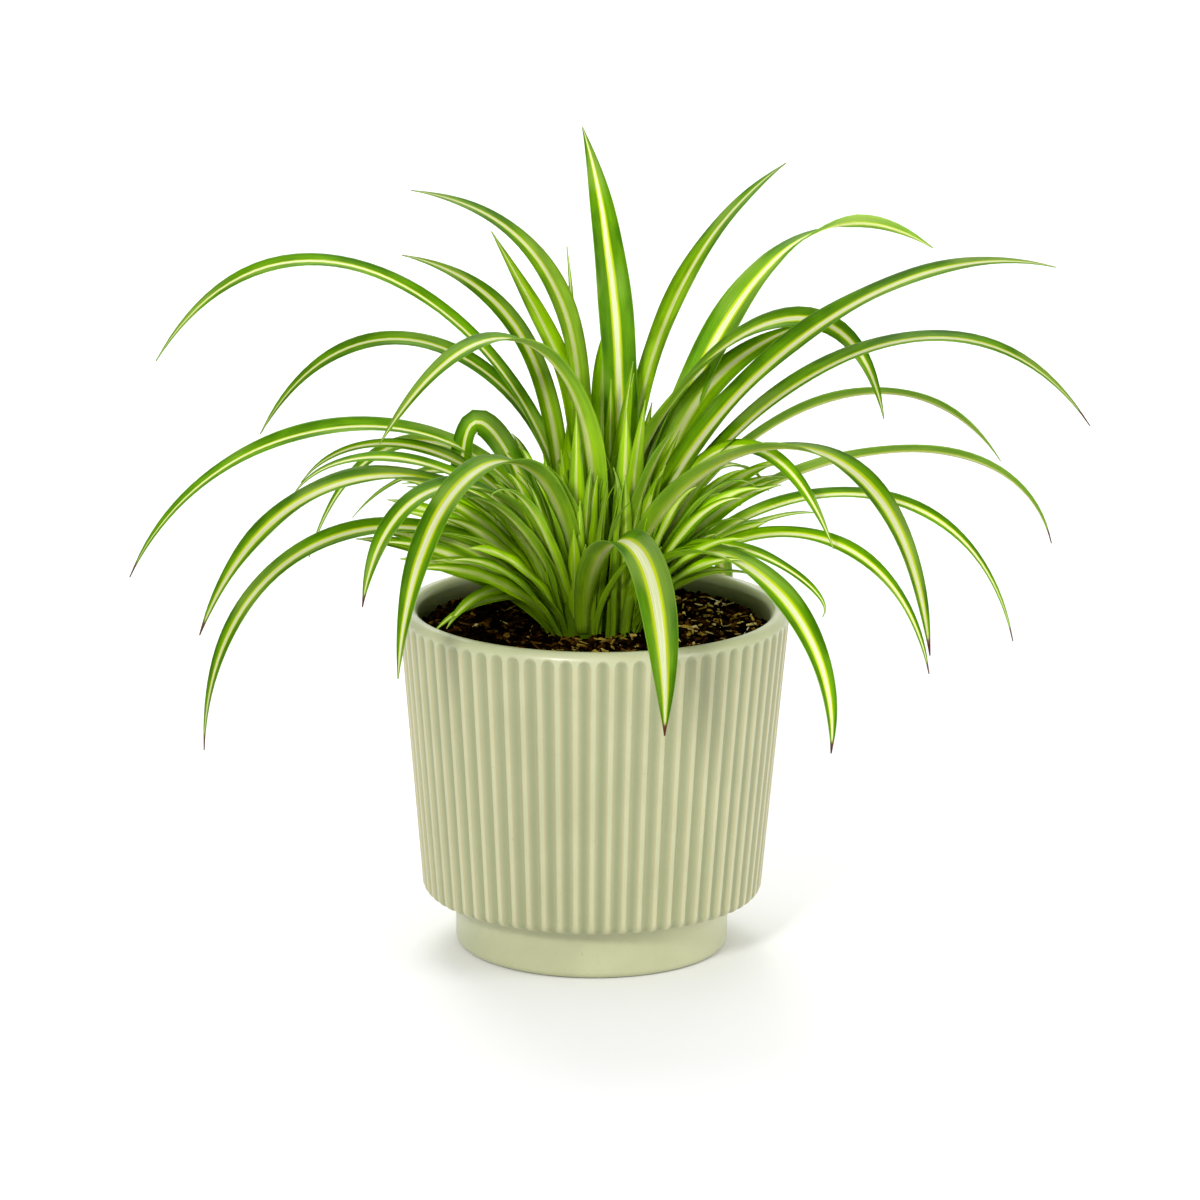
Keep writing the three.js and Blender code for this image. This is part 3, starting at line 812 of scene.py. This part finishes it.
def make_rosette(crown, index, upper, under):
    shapes = [*crown["leaves"], *young_leaves(crown, YOUNG_SEED + index),
              *fan_leaves(crown, FAN_SEED + index), *heart_leaves(crown, HEART_SEED + index),
              *sheath_leaves(crown, SHEATH_SEED + index), *seam_leaves(crown, SEAM_SEED + index)]
    draw = seeded_draw(BLADE_SEED + index)
    mesh = RosetteMesh(len(shapes) + 1)
    for row, shape in enumerate(shapes):
        sections, length = blade(crown, shape, draw)
        # A leaf's tone differs at random, plus its bright number, which on the fan leaves is painted
        # light.
        tone = draw(-1, 1) + shape["bright"]
        stripe = shape["stripe"] * draw(0.85, 1.15)
        mesh.add_blade(row, sections, length, shape, tone, stripe)
    mesh.add_core(len(shapes), *crown_core(crown))
    piece = mesh.finish(crown["name"] + "_leaves", [upper, under])
    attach(piece, "root")
    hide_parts(crown["name"])
    return piece


# ---- Pot ----
def wall_radius(height):
    return RIM_RADIUS - WALL_TAPER * (POT_HEIGHT - LIP_ROUND - height)


def inner(height):
    return wall_radius(height) - WALL_THICKNESS


def arc(radius, height, round_, start, end, steps):
    """Points of a profile round a centre, from one angle in degrees to another."""
    angles = np.radians(np.linspace(start, end, steps + 1))
    return [(radius + round_ * math.cos(a), height + round_ * math.sin(a)) for a in angles]


def outer_radius(height):
    """The wall, and above it the lip's round."""
    over = max(0.0, height - (POT_HEIGHT - LIP_ROUND))
    return min(wall_radius(height), RIM_RADIUS - LIP_ROUND + math.sqrt(LIP_ROUND ** 2 - over ** 2))


def flute_share(turn, height):
    """How deep the groove is here, from 0 on a land to 1 in its middle: a round cove that ends in an
    arch. turn counts flutes."""
    off = (turn % 1.0 - 0.5) * FLUTE_PITCH
    over = max(0.0, height - (FLUTE_TOP - FLUTE_WIDTH / 2))
    half = FLUTE_WIDTH / 2
    cove = (half ** 2 + FLUTE_DEPTH ** 2) / (2 * FLUTE_DEPTH)
    inside = cove ** 2 - off ** 2 - over ** 2
    return max(0.0, (math.sqrt(max(0.0, inside)) - cove + FLUTE_DEPTH) / FLUTE_DEPTH)


def foot_profile():
    """From the middle of the pot's underside over the foot to the body's underside."""
    return [
        (CLOSED, FOOT_HOLLOW), (FOOT_RADIUS - FOOT_RING - 1, FOOT_HOLLOW), (FOOT_RADIUS - FOOT_RING, 0.4),
        (FOOT_RADIUS - FOOT_RING + 0.4, 0.0),
        *arc(FOOT_RADIUS - FOOT_ROUND, FOOT_ROUND, FOOT_ROUND, -90, 0, 6),
        (FOOT_RADIUS, FOOT_HEIGHT - 1.2), (FOOT_RADIUS + 0.35, FOOT_HEIGHT - 0.35),
        (FOOT_RADIUS + 1.2, FOOT_HEIGHT)]


def fluted_profile():
    """The body's lower edge and its wall, with close rings where the flutes end in an arch."""
    body_foot = FOOT_HEIGHT + EDGE_ROUND
    edge = arc(wall_radius(body_foot) - EDGE_ROUND, body_foot, EDGE_ROUND, -90, 0, 8)
    body = [z for z in (body_foot + 4 * k for k in range(1, 22)) if z < ARCH_RINGS[0] - 0.5]
    return [*edge, *[(wall_radius(z), z) for z in body], *[(outer_radius(z), z) for z in ARCH_RINGS]]


def inside_profile():
    """The lip's round, the wall's inside with close rings at the mix, and the floor."""
    step = FOOT_HEIGHT + FLOOR_THICKNESS
    foot = FOOT_RADIUS - WALL_THICKNESS
    floor = FOOT_HOLLOW + FLOOR_THICKNESS
    return [
        *arc(RIM_RADIUS - LIP_ROUND, POT_HEIGHT - LIP_ROUND, LIP_ROUND, 22, 180, LIP_STEPS),
        *[(inner(z), z) for z in (106.5, 105, 104, 98, 90, 70, 50, step + INSIDE_STEP)],
        (inner(step) - INSIDE_STEP, step), (foot + INSIDE_STEP, step), (foot, step - INSIDE_STEP),
        (foot, floor), (CLOSED, floor)]


def flute_turns():
    """Where each flute has its points, as shares of a flute's turn, and 1 where its border is worn."""
    half_turn = FLUTE_WIDTH / 2 / FLUTE_PITCH
    turns = [0.0, *[0.5 - half_turn * k for k in reversed(FLUTE_POINTS)], 0.5,
             *[0.5 + half_turn * k for k in FLUTE_POINTS]]
    nearest, farthest = WORN_BORDER
    worn = [1.0 if nearest <= abs(turn - 0.5) / half_turn <= farthest else 0.0 for turn in turns]
    return turns, worn


def make_pot(material):
    outside, fluted, inside = foot_profile(), fluted_profile(), inside_profile()
    profile = outside + fluted + inside
    first, last = len(outside), len(outside) + len(fluted)
    top_of_lip = last + LIP_STEPS // 2
    turns, worn = flute_turns()
    around = FLUTE_COUNT * len(turns)
    points, grooves, edges, inner_shade = [], [], [], []
    for row, (radius, height) in enumerate(profile):
        is_fluted = first <= row < last
        below_arch = is_fluted and height < FLUTE_TOP - FLUTE_WIDTH / 2
        started = clamped((height - FOOT_HEIGHT + FLUTE_START / 2) / FLUTE_START)
        # Painted shade on the inside wall, darker towards the mix.
        inner_shade_share = clamped((POT_HEIGHT - INNER_SHADE_START - height) / INNER_SHADE_STRETCH) if row > top_of_lip else 0.0
        for k in range(around):
            turn = k // len(turns) + turns[k % len(turns)]
            share = flute_share(turn, height) if is_fluted else 0.0
            cut_radius = radius - FLUTE_DEPTH * share * started
            angle = 2 * math.pi * turn / FLUTE_COUNT
            points.append((cut_radius * math.cos(angle), cut_radius * math.sin(angle), height))
            grooves.append(share * started)
            edges.append(worn[k % len(turns)] * started if below_arch else 0.0)
            inner_shade.append(inner_shade_share)
    piece = make_mesh("fluted_pot", points, ring_faces(len(profile), around), [material])
    point_numbers(piece, "groove", grooves)
    point_numbers(piece, "edge", edges)
    point_numbers(piece, "inner_shade", inner_shade)
    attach(piece, "root")
    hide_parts("pot")
    return piece


def glaze_material():
    nodes = Nodes("sage_glaze")
    clouds = nodes.noise(nodes.where(), 38.0, 4.0, 0.6)
    specks = nodes.noise(nodes.where(), 900.0, 2.0, 0.5)
    base = nodes.mix(nodes.spread(clouds, 0.3, 0.7), rgb("ACAF88"), rgb("B5B790"))
    # Darker in the grooves: partly glaze that pools there, partly painted shade.
    base = nodes.mix(nodes.times(nodes.number("groove"), 0.78), base, rgb("81865C"))
    base = nodes.mix(nodes.times(nodes.number("edge"), 0.5), base, rgb("B39F74"))
    # Painted shade: the inside wall turns dark olive towards the mix.
    base = nodes.mix(nodes.times(nodes.number("inner_shade"), 0.88), base, rgb("4C4E0E"))
    base = nodes.mix(nodes.spread(specks, 0.66, 0.78, 0.0, 0.25), base, rgb("82855E"))
    height = nodes.plus(nodes.times(clouds, 0.8), nodes.times(specks, 0.12))
    surface = nodes.add("ShaderNodeBsdfPrincipled", {
        "Base Color": base, "Roughness": nodes.spread(clouds, 0.2, 0.8, 0.34, 0.44),
        "Coat Weight": 0.35, "Coat Roughness": 0.22,
        "Normal": nodes.bump(height, 0.12, 0.0006)})
    return nodes.finish(surface.outputs[0])


# ---- Potting mix ----
def mix_sides():
    """The sides of the mix, inside the pot, from the middle of its floor to its upper edge."""
    step = FOOT_HEIGHT + FLOOR_THICKNESS
    foot = FOOT_RADIUS - WALL_THICKNESS - MIX_GAP
    floor = FOOT_HOLLOW + FLOOR_THICKNESS + MIX_GAP
    return [(CLOSED, floor), (foot, floor), (foot, step - INSIDE_STEP + MIX_GAP),
            (foot + INSIDE_STEP, step + MIX_GAP), (inner(step) - MIX_GAP - INSIDE_STEP, step + MIX_GAP),
            (inner(step + INSIDE_STEP) - MIX_GAP, step + INSIDE_STEP + MIX_GAP),
            (inner(MIX_LEVEL) - MIX_GAP, MIX_LEVEL - 1.2)]


def make_mix(material):
    """The mix: smooth sides, and a top made uneven by many crossing waves and a little roughness."""
    draw = seeded_draw(MIX_SEED)
    around, rings = 220, 56
    edge = inner(MIX_LEVEL) - MIX_GAP
    profile = mix_sides()
    profile += [(edge * (1 - (k / rings)) + CLOSED, MIX_LEVEL) for k in range(rings + 1)]
    waves = [(draw(0.1, 2.4), draw(0, ROUND_TURN), draw(0, ROUND_TURN), draw(0.1, 0.4))
             for _ in range(CRUMB_WAVES)]
    points = []
    for radius, height in profile:
        for k in range(around):
            angle = 2 * math.pi * k / around
            x, y = radius * math.cos(angle), radius * math.sin(angle)
            crumb = 0.0
            if height == MIX_LEVEL:
                for pace, turn, phase, size in waves:
                    crumb += size * math.sin(pace * (x * math.cos(turn) + y * math.sin(turn)) + phase)
                crumb += draw(-0.7, 0.7)
            points.append((x, y, height + CRUMB_RELIEF * crumb - CRUMB_SINK))
    piece = make_mesh("potting_mix_surface", points, ring_faces(len(profile), around), [material])
    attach(piece, "root")
    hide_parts("potting_mix")
    return piece


def drawn_chip(draw):
    """The size, brightness and tilt of one chip."""
    kind = draw(0, 1)
    _, *ranges, brightness, tilt = next(row for row in CHIP_KINDS if kind > row[0])
    return [draw(*limits) for limits in ranges], draw(*brightness), tilt


def chip_corners(draw, size, tilt):
    """The eight corners of one uneven chip round its middle, turned at random."""
    turn = (Matrix.Rotation(draw(0, ROUND_TURN), 3, "Z") @ Matrix.Rotation(draw(-tilt, tilt), 3, "X")
            @ Matrix.Rotation(draw(-tilt, tilt), 3, "Y"))
    level = MIX_LEVEL + draw(0.1, 1.1)
    shaded = draw(0, 1) > FLECK_SHARE
    corners = []
    for z in (-1, 1):
        for x, y in ((-1, -1), (1, -1), (1, 1), (-1, 1)):
            corner = turn @ Vector((x * size[0] / 2 * draw(0.6, 1), y * size[1] / 2 * draw(0.5, 1),
                                    z * size[2] / 2 * draw(0.6, 1)))
            corners.append((corner.x, corner.y, level + corner.z))
    return corners, shaded


def make_chips(material):
    """Bark chips, crumbs and fibres that lie on the mix."""
    draw = seeded_draw(CHIP_SEED)
    box = ((0, 3, 2, 1), (4, 5, 6, 7), (0, 1, 5, 4), (1, 2, 6, 5), (2, 3, 7, 6), (3, 0, 4, 7))
    points, faces, tints = [], [], []
    edge = inner(MIX_LEVEL) - CHIP_MARGIN
    centres = [crown_centre(crown) for crown in CROWNS]
    chips = 0
    while chips < CHIP_COUNT:
        radius, angle = edge * math.sqrt(draw(0, 1)), draw(0, 2 * math.pi)
        spot = np.array([radius * math.cos(angle), radius * math.sin(angle)])
        if min(np.linalg.norm(spot - centre) for centre in centres) < CHIP_CLEAR:
            continue
        size, tint, tilt = drawn_chip(draw)
        corners, shaded = chip_corners(draw, size, tilt)
        # Painted shade: chips towards the shaded side get darker tints.
        if shaded:
            tint *= DARKEST_SIDE + (1 - DARKEST_SIDE) * clamped(0.6 + spot[0] / edge)
        faces += [tuple(len(points) + k for k in face) for face in box]
        points += [(spot[0] + x, spot[1] + y, z) for x, y, z in corners]
        tints += [tint] * len(corners)
        chips += 1
    piece = make_mesh("bark_chips", points, faces, [material])
    piece.data.polygons.foreach_set("use_smooth", [False] * len(piece.data.polygons))
    point_numbers(piece, "tint", tints)
    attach(piece, "root")
    return piece


def mix_material():
    nodes = Nodes("potting_mix")
    crumbs = nodes.noise(nodes.where(), 520.0, 6.0, 0.7)
    patches = nodes.noise(nodes.where(), 90.0, 3.0, 0.6)
    base = nodes.ramp(crumbs, [(0.35, rgb("020100")), (0.52, rgb("0C0602")), (0.64, rgb("241405")),
                               (0.78, rgb("4A3012"))])
    base = nodes.mix(nodes.spread(patches, 0.35, 0.65, 0.0, 0.8), base, rgb("5A4A3A"), "MULTIPLY")
    surface = nodes.add("ShaderNodeBsdfPrincipled", {
        "Base Color": base, "Roughness": 0.95, "Specular IOR Level": 0.0,
        "Normal": nodes.bump(crumbs, 0.9, 0.0015)})
    return nodes.finish(surface.outputs[0])


def chip_material():
    nodes = Nodes("bark_chips")
    grain = nodes.noise(nodes.where(), 700.0, 4.0, 0.6)
    base = nodes.ramp(nodes.number("tint"), [
        (0.0, rgb("030100")), (0.30, rgb("160C02")), (0.46, rgb("3C2208")), (0.62, rgb("7E5A1C")),
        (0.76, rgb("B49A3A")), (0.90, rgb("DCC478")), (1.0, rgb("F4E8B4"))])
    shade = nodes.ramp(grain, [(0.3, rgb("606060")), (0.7, rgb("FFFFFF"))])
    base = nodes.mix(0.7, base, shade, "MULTIPLY")
    surface = nodes.add("ShaderNodeBsdfPrincipled", {
        "Base Color": base, "Roughness": 0.7, "Specular IOR Level": 0.0,
        "Normal": nodes.bump(grain, 0.5, 0.0005)})
    return nodes.finish(surface.outputs[0])


# ---- Studio ----
def add_camera():
    camera = bpy.data.objects.new("camera", bpy.data.cameras.new("camera"))
    bpy.context.scene.collection.objects.link(camera)
    elevation = math.radians(CAMERA_ELEVATION)
    camera.location = Vector((AIM_X, -CAMERA_DISTANCE * math.cos(elevation),
                              AIM_HEIGHT + CAMERA_DISTANCE * math.sin(elevation))) * MM
    tilt = Matrix.Rotation(math.radians(90 - CAMERA_ELEVATION), 4, "X")
    roll = Matrix.Rotation(math.radians(CAMERA_ROLL), 4, "Z")
    camera.rotation_euler = (tilt @ roll).to_euler()
    camera.data.lens = FOCAL_LENGTH
    camera.data.sensor_width = 36.0
    camera.data.clip_end = 50.0
    bpy.context.scene.camera = camera


def add_lamp(name, place, aim, width, power):
    lamp = bpy.data.lights.new(name, "AREA")
    lamp.shape = "DISK"
    lamp.size = width
    lamp.energy = power
    holder = bpy.data.objects.new(name, lamp)
    holder.location = place
    holder.rotation_euler = (Vector(aim) - Vector(place)).to_track_quat("-Z", "Y").to_euler()
    bpy.context.scene.collection.objects.link(holder)


def add_floor():
    """A pale floor that curves up into a wall far behind."""
    nodes = Nodes("studio_floor")
    grey = (0.86, 0.86, 0.86, 1)
    surface = nodes.add("ShaderNodeBsdfPrincipled", {"Base Color": grey, "Roughness": 0.9})
    material = nodes.finish(surface.outputs[0])
    near, far, bend, top, half_width, below_pot = -3.0, 2.2, 0.9, 2.4, 5.0, 0.0001
    angles = np.linspace(0.1, math.pi / 2, 14)
    profile = [(near, 0.0), (far, 0.0)]
    profile += [(far + bend * math.sin(a), bend * (1 - math.cos(a))) for a in angles]
    profile += [(far + bend, top)]
    points = [(x, y, z - below_pot) for y, z in profile for x in (-half_width, half_width)]
    faces = [(2 * k, 2 * k + 1, 2 * k + 3, 2 * k + 2) for k in range(len(profile) - 1)]
    floor = make_mesh("floor", np.array(points) / MM, faces, [material])


def add_light():
    world = bpy.data.worlds.new("studio")
    bpy.context.scene.world = world
    world.use_nodes = True
    backdrop = world.node_tree.nodes["Background"]
    backdrop.inputs["Color"].default_value = (1, 1, 1, 1)
    backdrop.inputs["Strength"].default_value = 0.66
    for lamp in LAMPS:
        add_lamp(*lamp)
    bpy.context.scene.view_settings.view_transform = "Standard"


# ---- Making it ----
add_camera()
add_floor()
add_light()
make_pot(glaze_material())
make_mix(mix_material())
make_chips(chip_material())
upper_leaf = leaf_material("leaf_upper", UPPER_COLOURS, UPPER_ROUGHNESS)
under_leaf = leaf_material("leaf_under", UNDER_COLOURS, UNDER_ROUGHNESS)
for index, crown in enumerate(CROWNS):
    make_rosette(crown, index, upper_leaf, under_leaf)
